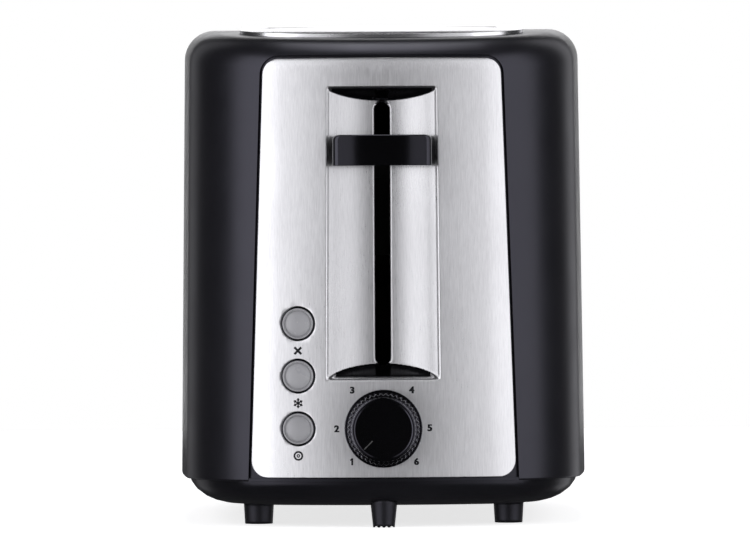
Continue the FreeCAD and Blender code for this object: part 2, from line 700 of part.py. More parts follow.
def heater_wire(x, side):
    """Flat resistance ribbon that winds up the bread side of one board."""
    x0 = x + side * HEATER_THICKNESS / 2
    x1 = x0 + side * 0.3
    low, high = min(x0, x1), max(x0, x1)
    rows = 12
    pitch = 11.0
    pieces = []
    for row in range(rows):
        z = 46 + row * pitch
        pieces.append(box(low, high, -64, 82, z, z + 1.6))
        if row < rows - 1:
            y = -64 if row % 2 else 80.4
            pieces.append(box(low, high, y, y + 1.6, z, z + pitch + 1.6))
    return fuse(pieces)


def bread_guide(x):
    """Wire cage that swings in on its lower pivot wire."""
    pivot = rod_y(x, GUIDE_PIVOT_Z, GUIDE_PIVOT_RADIUS, FRONT_BULKHEAD_Y - 2, REAR_BULKHEAD_Y + 2)
    top = rod_y(x, GUIDE_TOP_Z, 0.9, -62, 80)
    wires = [rod_z(x, -60 + index * 17.25, 0.8, GUIDE_PIVOT_Z, GUIDE_TOP_Z) for index in range(9)]
    return fuse([pivot, top] + wires)


# ---------------------------------------------------------------- rear services and fasteners

def cord_bush():
    """Bush that the supply cord would pass through, with a lip on each side of the rear cover."""
    tube = rod_y(CORD_X, CORD_Z, BUSH_RADIUS, 128, 143.5)
    lip_radius = BUSH_RADIUS + 2.0
    inner_lip = rod_y(CORD_X, CORD_Z, lip_radius, 130, 134.6).cut(rod_y(CORD_X, CORD_Z, BUSH_RADIUS, 100, 200))
    outer_lip = rod_y(CORD_X, CORD_Z, lip_radius, 142.1, 144.5)
    return fuse([tube, outer_lip, inner_lip]).cut(rod_y(CORD_X, CORD_Z, BUSH_BORE, 100, 200))


def terminal_block():
    y = REAR_BULKHEAD_Y + SHEET
    block = box(28, 54, y, y + 14, 60, 74)
    wells = [rod_y(34 + index * 7, 67, 1.8, y + 8, y + 30) for index in range(3)]
    return cut(block, wells)


def wiring():
    """Two insulated leads along the side gap to the power board."""
    leads = []
    for index in range(2):
        z = 64 + 6 * index
        points = [
            Vector(54, 104, z), Vector(71, 104, z), Vector(71, -84, z),
            Vector(59, -100 - 7 * index, 34 + 5 * index), Vector(50.5, -102 - 8 * index, 34 + 5 * index),
        ]
        leads.append(tube_path(points, 1.4))
    return Part.makeCompound(leads)


def base_screws():
    screws = []
    for x, y in base_bosses():
        head = rod_z(x, y, 3.0, BASE_BOTTOM + 0.4, BASE_BOTTOM + 2.4)
        shank = rod_z(x, y, 1.55, BASE_BOTTOM + 2, CHASSIS_FLOOR + 3)
        cross = [box(x - 2, x + 2, y - 0.35, y + 0.35, 0, BASE_BOTTOM + 1.4)]
        cross.append(box(x - 0.35, x + 0.35, y - 2, y + 2, 0, BASE_BOTTOM + 1.4))
        screws.append(cut(fuse([head, shank]), cross))
    return Part.makeCompound(screws)


def all_nodes():
    nodes = {
        "outer_shell": outer_shell(),
        "front_frame": front_frame(),
        "front_panel": front_panel(),
        "rear_cover": rear_cover(),
        "top_plate": top_plate(),
        "base_pan": base_pan(),
        "foot_front_left": foot(-FOOT_X, FOOT_FRONT_Y),
        "foot_front_right": foot(FOOT_X, FOOT_FRONT_Y),
        "foot_rear_left": foot(-FOOT_X, FOOT_REAR_Y),
        "foot_rear_right": foot(FOOT_X, FOOT_REAR_Y),
        "centre_foot": centre_foot(),
        "crumb_tray": crumb_tray(),
        "tray_handle": tray_handle(),
        "lever_knob": lever_knob(),
        "lever_arm": lever_arm(),
        "browning_knob": browning_knob(),
        "knob_shaft": knob_shaft(),
        "browning_pot": browning_pot(),
        "button_bezels": button_bezels(),
        "button_switches": button_switches(),
        "control_board": control_board(),
        "board_screws": board_screws(),
        "mechanism_bracket": mechanism_bracket(),
        "guide_rods": guide_rods(),
        "carriage": carriage(),
        "latch_plate": latch_plate(),
        "bread_rack_left": bread_rack(-1),
        "bread_rack_right": bread_rack(1),
        "lift_spring": lift_spring(),
        "magnet_core": magnet_core(),
        "magnet_coil": magnet_coil(),
        "power_board": power_board(),
        "power_relay": power_relay(),
        "switch_contacts": switch_contacts(),
        "front_bulkhead": front_bulkhead(),
        "rear_bulkhead": rear_bulkhead(),
        "side_liner_left": side_liner(-1),
        "side_liner_right": side_liner(1),
        "cord_bush": cord_bush(),
        "terminal_block": terminal_block(),
        "wiring": wiring(),
        "base_screws": base_screws(),
    }
    for name, z in BUTTON_Z.items():
        nodes[name] = push_button(z)
    for index, (x, side) in enumerate(heater_centres(), start=1):
        nodes[f"heater_board_{index}"] = heater_board(x)
        nodes[f"heater_wire_{index}"] = heater_wire(x, side)
    for index, (x, _) in enumerate(guide_centres(), start=1):
        nodes[f"bread_guide_{index}"] = bread_guide(x)
    return nodes


os.makedirs("parts", exist_ok=True)
for name, shape in all_nodes().items():
    if not shape.isValid() or not shape.Solids:
        print("CHECK", name, shape.isValid(), len(shape.Solids))
    shape.exportStep(f"parts/{name}.step")
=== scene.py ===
import bmesh
import bpy
import json
import math
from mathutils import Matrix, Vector


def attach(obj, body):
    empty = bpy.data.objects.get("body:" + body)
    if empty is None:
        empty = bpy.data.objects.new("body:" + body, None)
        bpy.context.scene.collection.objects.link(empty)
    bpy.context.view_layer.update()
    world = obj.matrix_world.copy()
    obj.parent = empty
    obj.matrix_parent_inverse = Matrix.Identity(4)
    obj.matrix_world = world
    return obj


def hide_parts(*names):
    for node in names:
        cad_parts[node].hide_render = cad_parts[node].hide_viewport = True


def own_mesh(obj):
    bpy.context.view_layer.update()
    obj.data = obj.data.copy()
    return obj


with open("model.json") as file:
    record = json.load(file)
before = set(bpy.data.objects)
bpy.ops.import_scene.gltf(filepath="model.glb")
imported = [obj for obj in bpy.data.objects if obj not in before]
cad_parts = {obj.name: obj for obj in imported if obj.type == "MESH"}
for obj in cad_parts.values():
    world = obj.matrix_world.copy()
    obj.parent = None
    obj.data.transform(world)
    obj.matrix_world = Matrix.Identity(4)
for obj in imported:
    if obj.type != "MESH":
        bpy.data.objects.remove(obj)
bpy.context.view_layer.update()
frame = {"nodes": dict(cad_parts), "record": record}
nodes = frame["nodes"]

MM = 0.001

# ---- sizes in millimetres; the body and the controls sit where the CAD design has them ----
FRONT_Y = -136.0
REAR_Y = 144.0
MID_Y = (FRONT_Y + REAR_Y) / 2
HALF_LENGTH = (REAR_Y - FRONT_Y) / 2
HALF_WIDTH = 85.8
END_RADIUS = 185.0
CORNER_RADIUS = 50.0
SIDE_RADIUS = 900.0
SIDE_DRAFT = 0.0118
SHELL_BOTTOM = 18.9
SHELL_WALL = 2.2
CROWN_TOP = 206.3
CROWN_RADIUS = 920.0
SHOULDER_RADIUS = 12.5
PANEL_BOTTOM = 20.7
PANEL_TOP = 189.4
PANEL_HALF_BOTTOM = 53.4
PANEL_HALF_TOP = 47.8
PANEL_CORNER = 6.5
PANEL_GAP = 1.2
PANEL_SHEET = 0.8
PLATE_HALF = 58.0
PLATE_END_INSET = 20.0

# lever channel: a hollow cylinder pressed into the panel, a little wider at the bottom
RECESS_HALF = 21.5
RECESS_FLARE = 0.9
RECESS_RADIUS = 30.0
RECESS_STEP = 0.3
RECESS_BOTTOM = 60.5
RECESS_TOP = 177.0
RECESS_TOP_SLOPE = 0.4
RECESS_BOTTOM_SLOPE = 0.5
RECESS_CORNER_SOFT = 3.2
RECESS_RIM_SOFT = 3.2
LEVER_SLOT_HALF = 3.1
LEVER_SLOT_BOTTOM = 65.6
LEVER_SLOT_TOP = 171.8
SLOT_ROLL = 0.8

# controls
LEVER_Z = 152.0
LEVER_HALF = 19.9
LEVER_FRONT_Y = FRONT_Y - 9.5
LEVER_BACK_Y = FRONT_Y - 1.0
KNOB_Z = 40.3
KNOB_FLUTES = 44
KNOB_FLUTE_DEPTH = 0.75
KNOB_SHAFT_HOLE = 4.2
BUTTON_X = -34.3
BUTTON_Z = {"cancel": 82.6, "frozen": 61.5, "bagel": 40.3}
BUTTON_PROUD = 0.9
BEZEL_PROUD = 0.5
BUTTON_HOLE = 7.1
SYMBOL_DROP = 10.9
DIGIT_HEIGHT = 2.8
INK_LIFT = 0.05
SPRING_X = -12.0
SPRING_Y = -99.0
SPRING_LOW = 25.8
SPRING_LENGTH = 116.0


# ---------------------------------------------------------------- body surface

def crown_height(y):
    """Height of the domed top over a point along the length."""
    return CROWN_TOP - CROWN_RADIUS + math.sqrt(CROWN_RADIUS ** 2 - (y - MID_Y) ** 2)


def plan_arcs(z):
    """The three arcs of a quarter of the outline, each as (centre, radius, start angle, end angle)."""
    half_width = HALF_WIDTH - SIDE_DRAFT * (z - SHELL_BOTTOM)
    end_centre = Vector((0, END_RADIUS - HALF_LENGTH))
    side_centre = Vector((half_width - SIDE_RADIUS, 0))
    reach_end = END_RADIUS - CORNER_RADIUS
    reach_side = SIDE_RADIUS - CORNER_RADIUS
    between = side_centre - end_centre
    span = between.length
    along = (reach_end ** 2 - reach_side ** 2 + span ** 2) / (2 * span)
    across = math.sqrt(reach_end ** 2 - along ** 2)
    unit = between.normalized()
    normal = Vector((-unit.y, unit.x))
    crossings = [end_centre + unit * along + normal * side * across for side in (-1, 1)]
    corner = max(crossings, key=lambda point: point.x)
    end_angle = math.atan2(corner.x - end_centre.x, end_centre.y - corner.y)
    side_angle = math.atan2(corner.x - side_centre.x, side_centre.y - corner.y)
    return [
        (end_centre, END_RADIUS, 0.0, end_angle),
        (corner, CORNER_RADIUS, end_angle, side_angle),
        (side_centre, SIDE_RADIUS, side_angle, math.pi / 2),
    ]


def plan_quarter(z, inset, counts=(26, 40, 26)):
    """Points of the outline from the middle of the control end round to the middle of the right side."""
    points = []
    for (centre, radius, start, stop), count in zip(plan_arcs(z), counts):
        for step in range(count):
            angle = start + (stop - start) * step / count
            points.append(centre + Vector((math.sin(angle), -math.cos(angle))) * (radius - inset))
    points.append(centre + Vector((radius - inset, 0)))
    return points


def plan_loop(z, inset):
    """Whole outline, anticlockwise seen from above, as (x, y) in the frame."""
    quarter = plan_quarter(z, inset)
    right_rear = [Vector((p.x, -p.y)) for p in reversed(quarter[:-1])]
    half = quarter + right_rear
    left = [Vector((-p.x, p.y)) for p in reversed(half[1:-1])]
    return [(p.x, p.y + MID_Y) for p in half + left]


def shoulder_rows(wall, steps=12):
    """(inset, drop below the crown) along the rounded shoulder and over the top, for a wall offset."""
    radius = SHOULDER_RADIUS - wall
    rows = []
    for step in range(steps + 1):
        angle = math.pi / 2 * step / steps
        rows.append((wall + radius * (1 - math.cos(angle)), radius * (1 - math.sin(angle))))
    for inset in (14.5, 17, 20, 23, 26, 30):
        rows.append((inset, 0.0))
    return rows


def body_rings(wall, bottom_rows):
    """Rings of points from the lower edge to the top cap of the body offset in by the wall."""
    rings = [[(x, y, z) for x, y in plan_loop(z, wall + inset)] for inset, z in bottom_rows]
    for share in (0.08, 0.2, 0.35, 0.5, 0.65, 0.8, 0.92):
        z = bottom_rows[-1][1] + (172.0 - bottom_rows[-1][1]) * share
        rings.append([(x, y, z) for x, y in plan_loop(z, wall)])
    top_z = CROWN_TOP - SHOULDER_RADIUS
    for inset, drop in shoulder_rows(wall):
        ring = []
        for x, y in plan_loop(top_z, inset):
            ring.append((x, y, crown_height(y) - wall - drop))
        rings.append(ring)
    return rings


def front_inset(z):
    """How far the end face has curved in at a height near the shoulder."""
    inset = 0.0
    for _ in range(6):
        rise = 1 - (crown_height(FRONT_Y + inset) - z) / SHOULDER_RADIUS
        if rise <= 0:
            return 0.0
        inset = SHOULDER_RADIUS * (1 - math.sqrt(max(0.0, 1 - min(rise, 1.0) ** 2)))
    return inset


def end_face_y(x, z):
    """Y of the control end face for a point across it."""
    inset = front_inset(z)
    end_arc, corner_arc, _ = plan_arcs(z)
    join = math.sin(end_arc[3]) * (END_RADIUS - inset)
    centre, radius = (end_arc if abs(x) <= join else corner_arc)[:2]
    return MID_Y + centre.y - math.sqrt((radius - inset) ** 2 - (abs(x) - centre.x) ** 2)


# ---------------------------------------------------------------- mesh helpers

def make_mesh(name, verts, faces, material, body="housing"):
    mesh = bpy.data.meshes.new(name)
    mesh.from_pydata([Vector(v) * MM for v in verts], [], faces)
    mesh.update()
    piece = bpy.data.objects.new(name, mesh)
    bpy.context.scene.collection.objects.link(piece)
    if material:
        mesh.materials.append(material)
    if body:
        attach(piece, body)
    return piece


def bridge(faces, start, count, rows):
    """Quads between successive rings of equal count."""
    for row in range(rows - 1):
        low = start + row * count
        high = low + count
        for index in range(count):
            after = (index + 1) % count
            faces.append((low + index, low + after, high + after, high + index))


def shade(piece, angle=35.0):
    for polygon in piece.data.polygons:
        polygon.use_smooth = True
    piece.data.set_sharp_from_angle(angle=math.radians(angle))


def bake_modifiers(piece):
    """Turns the piece's modifiers into its final mesh."""
    bpy.context.view_layer.update()
    graph = bpy.context.evaluated_depsgraph_get()
    mesh = bpy.data.meshes.new_from_object(piece.evaluated_get(graph))
    piece.modifiers.clear()
    piece.data = mesh


def cut_with(piece, cutters, operation="DIFFERENCE"):
    for cutter in cutters:
        modifier = piece.modifiers.new("cut", "BOOLEAN")
        modifier.operation = operation
        modifier.solver = "EXACT"
        modifier.object = cutter
        bake_modifiers(piece)
    for cutter in cutters:
        bpy.data.objects.remove(cutter)


def bevel(piece, width, segments=2, angle=40.0):
    modifier = piece.modifiers.new("edge", "BEVEL")
    modifier.width = width * MM
    modifier.segments = segments
    modifier.limit_method = "ANGLE"
    modifier.angle_limit = math.radians(angle)
    modifier.use_clamp_overlap = True


def prism(name, outline, low, high, upright=False):
    """Closed prism from a flat outline, along Y from (x, z) points or upright from (x, y) points."""
    verts = []
    for level in (low, high):
        verts += [(u, v, level) if upright else (u, level, v) for u, v in outline]
    count = len(outline)
    faces = [tuple(range(count)), tuple(reversed(range(count, 2 * count)))]
    for index in range(count):
        after = (index + 1) % count
        faces.append((index, index + count, after + count, after))
    piece = make_mesh(name, verts, faces, None, body=None)
    fix_normals(piece)
    return piece


def fix_normals(piece):
    work = bmesh.new()
    work.from_mesh(piece.data)
    bmesh.ops.recalc_face_normals(work, faces=work.faces)
    work.to_mesh(piece.data)
    work.free()


def rounded_outline(corners, steps=10):
    """Outline with round corners from (x, z, radius) corners."""
    points = []
    count = len(corners)
    for index, (x, z, radius) in enumerate(corners):
        point = Vector((x, z))
        before = (Vector(corners[index - 1][:2]) - point).normalized()
        after = (Vector(corners[(index + 1) % count][:2]) - point).normalized()
        half = before.angle(after) / 2
        centre = point + (before + after).normalized() * (radius / math.sin(half))
        start = point + before * (radius / math.tan(half)) - centre
        end = point + after * (radius / math.tan(half)) - centre
        first = math.atan2(start.y, start.x)
        sweep = math.atan2(end.y, end.x) - first
        sweep = (sweep + math.pi) % (2 * math.pi) - math.pi
        for step in range(steps + 1):
            angle = first + sweep * step / steps
            points.append((centre.x + radius * math.cos(angle), centre.y + radius * math.sin(angle)))
    return points


def panel_outline(grow, bottom=None):
    slope = (PANEL_HALF_BOTTOM - PANEL_HALF_TOP) / (PANEL_TOP - PANEL_BOTTOM)
    low = PANEL_BOTTOM - grow if bottom is None else bottom
    high = PANEL_TOP + grow
    half_low = PANEL_HALF_BOTTOM + grow + slope * (PANEL_BOTTOM - low)
    half_high = PANEL_HALF_TOP + grow - slope * (high - PANEL_TOP)
    radius = PANEL_CORNER + grow
    return rounded_outline([
        (-half_low, low, radius), (half_low, low, radius),
        (half_high, high, radius), (-half_high, high, radius),
    ])


def circle_outline(x, z, radius, count=72):
    return [
        (x + radius * math.cos(2 * math.pi * i / count), z + radius * math.sin(2 * math.pi * i / count))
        for i in range(count)
    ]


def plate_outline(grow):
    """Outline of the top plate as (x, y): the body outline moved in, cut straight at both sides."""
    half = PLATE_HALF + grow
    inside = plan_loop(150.0, PLATE_END_INSET - grow)
    edge = max((p for p in inside if abs(p[0]) <= half and p[1] < MID_Y), key=lambda p: p[0])
    wide = min((p for p in inside if p[0] > half and p[1] < MID_Y), key=lambda p: p[0])
    share = (half - edge[0]) / (wide[0] - edge[0])
    reach = MID_Y - (edge[1] + (wide[1] - edge[1]) * share)
    front = sorted((p for p in inside if abs(p[0]) < half - 0.01 and p[1] < MID_Y), key=lambda p: p[0])
    rear = sorted((p for p in inside if abs(p[0]) < half - 0.01 and p[1] > MID_Y), key=lambda p: -p[0])
    corners_front = [(-half, MID_Y - reach)] + front + [(half, MID_Y - reach)]
    corners_rear = [(half, MID_Y + reach)] + rear + [(-half, MID_Y + reach)]
    return corners_front + corners_rear


# ---------------------------------------------------------------- materials

class Nodes:
    """Small helper round one node material."""

    def __init__(self, name):
        self.material = bpy.data.materials.new(name)
        self.material.use_nodes = True
        self.tree = self.material.node_tree
        self.shader = self.tree.nodes["Principled BSDF"]
        coords = self.tree.nodes.new("ShaderNodeTexCoord")
        self.coords = coords.outputs["Object"]

    def add(self, kind, **values):
        node = self.tree.nodes.new(kind)
        for key, value in values.items():
            if hasattr(node, key):
                setattr(node, key, value)
            else:
                node.inputs[key.replace("_", " ")].default_value = value
        return node

    def link(self, source, target):
        self.tree.links.new(source, target)

    def set(self, **values):
        for key, value in values.items():
            self.shader.inputs[key.replace("_", " ")].default_value = value

    def stretched(self, scale):
        """Object coordinates in metres, scaled differently along each axis."""
        mapping = self.add("ShaderNodeMapping")
        mapping.inputs["Scale"].default_value = scale
        self.link(self.coords, mapping.inputs["Vector"])
        return mapping.outputs["Vector"]

    def noise(self, scale, detail=3.0, roughness=0.5, stretch=None):
        node = self.add("ShaderNodeTexNoise", Scale=scale, Detail=detail, Roughness=roughness)
        self.link(self.stretched(stretch) if stretch else self.coords, node.inputs["Vector"])
        return node.outputs["Fac"]

    def spread(self, source, low, high):
        """Maps a 0 to 1 value onto low to high."""
        node = self.add("ShaderNodeMapRange")
        node.inputs["To Min"].default_value = low
        node.inputs["To Max"].default_value = high
        node.inputs["From Min"].default_value = 0.3
        node.inputs["From Max"].default_value = 0.7
        self.link(source, node.inputs["Value"])
        return node.outputs["Result"]

    def tint(self, source, dark, light, low=0.35, high=0.65):
        ramp = self.add("ShaderNodeValToRGB")
        ramp.color_ramp.elements[0].position = low
        ramp.color_ramp.elements[0].color = (*dark, 1)
        ramp.color_ramp.elements[1].position = high
        ramp.color_ramp.elements[1].color = (*light, 1)
        self.link(source, ramp.inputs["Fac"])
        self.link(ramp.outputs["Color"], self.shader.inputs["Base Color"])

    def rough(self, source, low, high):
        self.link(self.spread(source, low, high), self.shader.inputs["Roughness"])

    def bump(self, source, strength, distance):
        node = self.add("ShaderNodeBump", Strength=strength, Distance=distance)
        self.link(source, node.inputs["Height"])
        self.link(node.outputs["Normal"], self.shader.inputs["Normal"])


def moulded_plastic(name, dark, light, rough, grain_scale, grain_depth, specular=0.5, tint=(1, 1, 1, 1)):
    """Plastic with faint flow marks, uneven gloss and a fine grain."""
    m = Nodes(name)
    m.set(Specular_Tint=tint)
    m.tint(m.noise(14.0, 2.0), dark, light)
    m.rough(m.noise(60.0, 4.0), *rough)
    m.bump(m.noise(grain_scale, 2.0, 0.6), 0.35, grain_depth)
    m.set(Specular_IOR_Level=specular)
    return m.material


def brushed_steel(name, stretch, tone, rough, anisotropic, tangent):
    """Stainless sheet with fine streaks; the stretch sets the direction they run in."""
    m = Nodes(name)
    streaks = m.noise(1.0, 6.0, 0.7, stretch)
    patches = m.noise(28.0, 2.0)
    m.tint(streaks, (tone[0], tone[0], tone[0] * 1.02), (tone[1], tone[1], tone[1] * 1.015), 0.32, 0.68)
    blend = m.add("ShaderNodeMath", operation="ADD")
    m.link(m.spread(streaks, rough[0], rough[1]), blend.inputs[0])
    m.link(m.spread(patches, -0.02, 0.02), blend.inputs[1])
    m.link(blend.outputs[0], m.shader.inputs["Roughness"])
    m.bump(streaks, 0.25, 0.00001)
    m.set(Metallic=1.0, Anisotropic=anisotropic)
    if tangent == "UV_MAP":
        direction = m.add("ShaderNodeTangent", direction_type="UV_MAP")
    else:
        direction = m.add("ShaderNodeTangent", direction_type="RADIAL", axis=tangent)
    m.link(direction.outputs["Tangent"], m.shader.inputs["Tangent"])
    return m.material


def plain_metal(name, dark, light, rough, scale=120.0, depth=0.00002):
    m = Nodes(name)
    grain = m.noise(scale, 4.0)
    m.tint(grain, dark, light)
    m.rough(m.noise(scale / 3, 3.0), *rough)
    m.bump(m.noise(scale * 6, 2.0), 0.15, depth)
    m.set(Metallic=1.0)
    return m.material


def mineral_sheet(name):
    """Mica board: pale flakes in layers."""
    m = Nodes(name)
    flakes = m.add("ShaderNodeTexVoronoi", Scale=160.0)
    m.link(m.coords, flakes.inputs["Vector"])
    m.tint(flakes.outputs["Distance"], (0.36, 0.29, 0.19), (0.66, 0.58, 0.44), 0.0, 0.7)
    m.rough(m.noise(90.0), 0.35, 0.6)
    m.bump(flakes.outputs["Distance"], 0.3, 0.0001)
    return m.material


def woven_sleeve(name):
    m = Nodes(name)
    weave = m.add("ShaderNodeTexWave", Scale=700.0, Distortion=1.5)
    m.link(m.coords, weave.inputs["Vector"])
    m.tint(weave.outputs["Fac"], (0.55, 0.54, 0.50), (0.80, 0.79, 0.75), 0.2, 0.8)
    m.bump(weave.outputs["Fac"], 0.5, 0.0002)
    m.set(Roughness=0.85)
    return m.material


def circuit_board(name):
    m = Nodes(name)
    tracks = m.add("ShaderNodeTexBrick", Scale=160.0)
    tracks.inputs["Color1"].default_value = (0.015, 0.10, 0.045, 1)
    tracks.inputs["Color2"].default_value = (0.02, 0.13, 0.06, 1)
    tracks.inputs["Mortar"].default_value = (0.05, 0.24, 0.11, 1)
    m.link(m.coords, tracks.inputs["Vector"])
    m.link(tracks.outputs["Color"], m.shader.inputs["Base Color"])
    m.rough(m.noise(80.0), 0.3, 0.5)
    m.bump(tracks.outputs["Fac"], 0.2, 0.00005)
    return m.material


def printed_ink(name):
    m = Nodes(name)
    m.tint(m.noise(900.0, 2.0), (0.010, 0.010, 0.012), (0.020, 0.020, 0.022))
    m.rough(m.noise(400.0), 0.6, 0.75)
    m.set(Specular_IOR_Level=0.1)
    return m.material


COOL = (0.84, 0.83, 1.0, 1)
PLASTIC = {
    "shell": moulded_plastic(
        "shell_plastic", (0.0050, 0.0049, 0.0062), (0.0062, 0.0061, 0.0076), (0.31, 0.36), 1500.0, 0.00002,
        tint=COOL),
    "trim": moulded_plastic(
        "trim_plastic", (0.0045, 0.0044, 0.0055), (0.0060, 0.0059, 0.0072), (0.28, 0.34), 1500.0, 0.00001,
        0.3, COOL),
    "control": moulded_plastic(
        "control_plastic", (0.0008, 0.0008, 0.0009), (0.0014, 0.0014, 0.0015), (0.10, 0.14), 900.0, 0.000004,
        0.5, COOL),
    "button": moulded_plastic(
        "button_plastic", (0.29, 0.29, 0.303), (0.32, 0.32, 0.334), (0.24, 0.30), 1200.0, 0.00001),
    "nylon": moulded_plastic(
        "inner_nylon", (0.010, 0.010, 0.010), (0.018, 0.018, 0.018), (0.5, 0.65), 1200.0, 0.00006),
    "rubber": moulded_plastic(
        "foot_rubber", (0.004, 0.004, 0.0045), (0.007, 0.007, 0.0075), (0.42, 0.52), 1500.0, 0.00003,
        0.4, COOL),
}
UPRIGHT_GRAIN = (2400.0, 2400.0, 170.0)
LENGTHWISE_GRAIN = (2000.0, 80.0, 2000.0)
PANEL_STEEL = brushed_steel("panel_steel", UPRIGHT_GRAIN, (0.56, 0.70), (0.28, 0.34), 0.8, "UV_MAP")
# darker copy of the panel steel used only in the lever channel: painted shade
CHANNEL_SHADE_STEEL = brushed_steel("channel_painted_shade", UPRIGHT_GRAIN, (0.39, 0.50), (0.26, 0.32), 0.8, "UV_MAP")
TOP_STEEL = brushed_steel("top_steel", LENGTHWISE_GRAIN, (0.66, 0.78), (0.18, 0.24), 0.3, "Z")
SHEET_STEEL = plain_metal("sheet_steel", (0.45, 0.46, 0.47), (0.58, 0.59, 0.60), (0.32, 0.48), 60.0)
PLATED_STEEL = plain_metal("plated_steel", (0.55, 0.55, 0.54), (0.66, 0.66, 0.65), (0.16, 0.28))
HEATER_ALLOY = plain_metal("heater_alloy", (0.20, 0.18, 0.16), (0.34, 0.31, 0.28), (0.45, 0.6))
COPPER = plain_metal("copper", (0.55, 0.26, 0.12), (0.72, 0.38, 0.20), (0.25, 0.4))
MICA = mineral_sheet("mica")
SLEEVE = woven_sleeve("lead_sleeve")
BOARD = circuit_board("circuit_board")
INK = printed_ink("printed_ink")

SLOT_MATERIALS = {
    "shell_plastic": PLASTIC["shell"],
    "trim_plastic": PLASTIC["trim"],
    "panel_steel": TOP_STEEL,
    "control_plastic": PLASTIC["control"],
    "button_plastic": PLASTIC["button"],
    "plated_steel": PLATED_STEEL,
    "sheet_steel": SHEET_STEEL,
    "mica": MICA,
    "heater_alloy": HEATER_ALLOY,
    "inner_nylon": PLASTIC["nylon"],
    "circuit_board": BOARD,
    "copper": COPPER,
    "lead_sleeve": SLEEVE,
    "foot_rubber": PLASTIC["rubber"],
}


def dress_cad_nodes():
    """Gives every CAD node its material and smooth shading, and small rounded edges to the nodes listed in
    widths.
    """
    widths = {"top_plate": 0.6, "base_pan": 0.5, "tray_handle": 0.6, "front_frame": 0.25, "rear_cover": 0.35}
    for subpart in frame["record"]["subparts"]:
        node = nodes[subpart["node"]]
        node.data.materials.clear()
        node.data.materials.append(SLOT_MATERIALS[subpart["material_slot"]])
        weld = node.modifiers.new("weld", "WELD")
        weld.merge_threshold = 0.001 * MM
        if subpart["node"] in widths:
            bevel(node, widths[subpart["node"]])
        shade(node)


# ---------------------------------------------------------------- housing pieces

def build_shell():
    """Body shell with wall thickness, rolled lower edge and its three openings."""
    low = SHELL_BOTTOM
    outer = body_rings(0.0, [(0.8, low), (0.4, low + 0.1), (0.12, low + 0.4), (0.0, low + 0.9)])
    inner = body_rings(SHELL_WALL, [(0.0, low), (0.0, low + 1.1)])
    count = len(outer[0])
    verts = []
    faces = []
    for ring in outer + inner:
        verts += ring
    bridge(faces, 0, count, len(outer))
    start = len(outer) * count
    inside = []
    bridge(inside, start, count, len(inner))
    faces += [tuple(reversed(face)) for face in inside]
    for index in range(count):
        after = (index + 1) % count
        faces.append((start + index, start + after, after, index))
    faces.append(tuple((len(outer) - 1) * count + index for index in range(count)))
    last = start + (len(inner) - 1) * count
    faces.append(tuple(reversed([last + index for index in range(count)])))
    shell = make_mesh("shell_skin", verts, faces, PLASTIC["shell"])
    fix_normals(shell)
    cutters = [
        prism("cut_front", panel_outline(PANEL_GAP, SHELL_BOTTOM - 30), -300, MID_Y),
        prism("cut_rear", panel_outline(PANEL_GAP, SHELL_BOTTOM - 30), MID_Y, 300),
        prism("cut_top", plate_outline(0.2), 150, 260, upright=True),
    ]
    cut_with(shell, cutters)
    bevel(shell, 0.35)
    shade(shell, 40)
    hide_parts("outer_shell")
    return shell


def smooth_min(a, b, soft):
    """Lesser of two values, with a round blend where they are close."""
    blend = max(soft - abs(a - b), 0.0) / soft
    return min(a, b) - blend * blend * soft * 0.25


def recess_depth(x, z):
    """Depth of the pressed lever channel behind the panel face, with soft edges."""
    half = RECESS_HALF + RECESS_FLARE * (RECESS_TOP - z) / (RECESS_TOP - RECESS_BOTTOM)
    reach = min(abs(x), RECESS_RADIUS - 2.0)
    side = math.sqrt(RECESS_RADIUS ** 2 - reach ** 2) - math.sqrt(RECESS_RADIUS ** 2 - half ** 2)
    side += RECESS_STEP - 2.0 * max(abs(x) - half + RECESS_STEP, 0.0)
    ends = min((RECESS_TOP - z) / RECESS_TOP_SLOPE, (z - RECESS_BOTTOM) / RECESS_BOTTOM_SLOPE)
    depth = smooth_min(side, ends, RECESS_CORNER_SOFT)
    return -smooth_min(-depth, 0.0, RECESS_RIM_SOFT) + slot_roll(x, z)


def slot_roll(x, z):
    """Extra depth where the sheet rolls in at the edge of the lever slot."""
    low = LEVER_SLOT_BOTTOM + LEVER_SLOT_HALF
    high = LEVER_SLOT_TOP - LEVER_SLOT_HALF
    outside = math.hypot(x, z - min(max(z, low), high)) - LEVER_SLOT_HALF
    reach = min(max(SLOT_ROLL - outside, 0.0), SLOT_ROLL)
    return SLOT_ROLL - math.sqrt(SLOT_ROLL ** 2 - reach ** 2)


def graded(stops):
    """Rising coordinates from (start, step) pairs, each step used up to the next start."""
    values = []
    for (start, step), (stop, _) in zip(stops, stops[1:]):
        count = max(1, round((stop - start) / step))
        values += [start + (stop - start) * index / count for index in range(count)]
    return values + [stops[-1][0]]


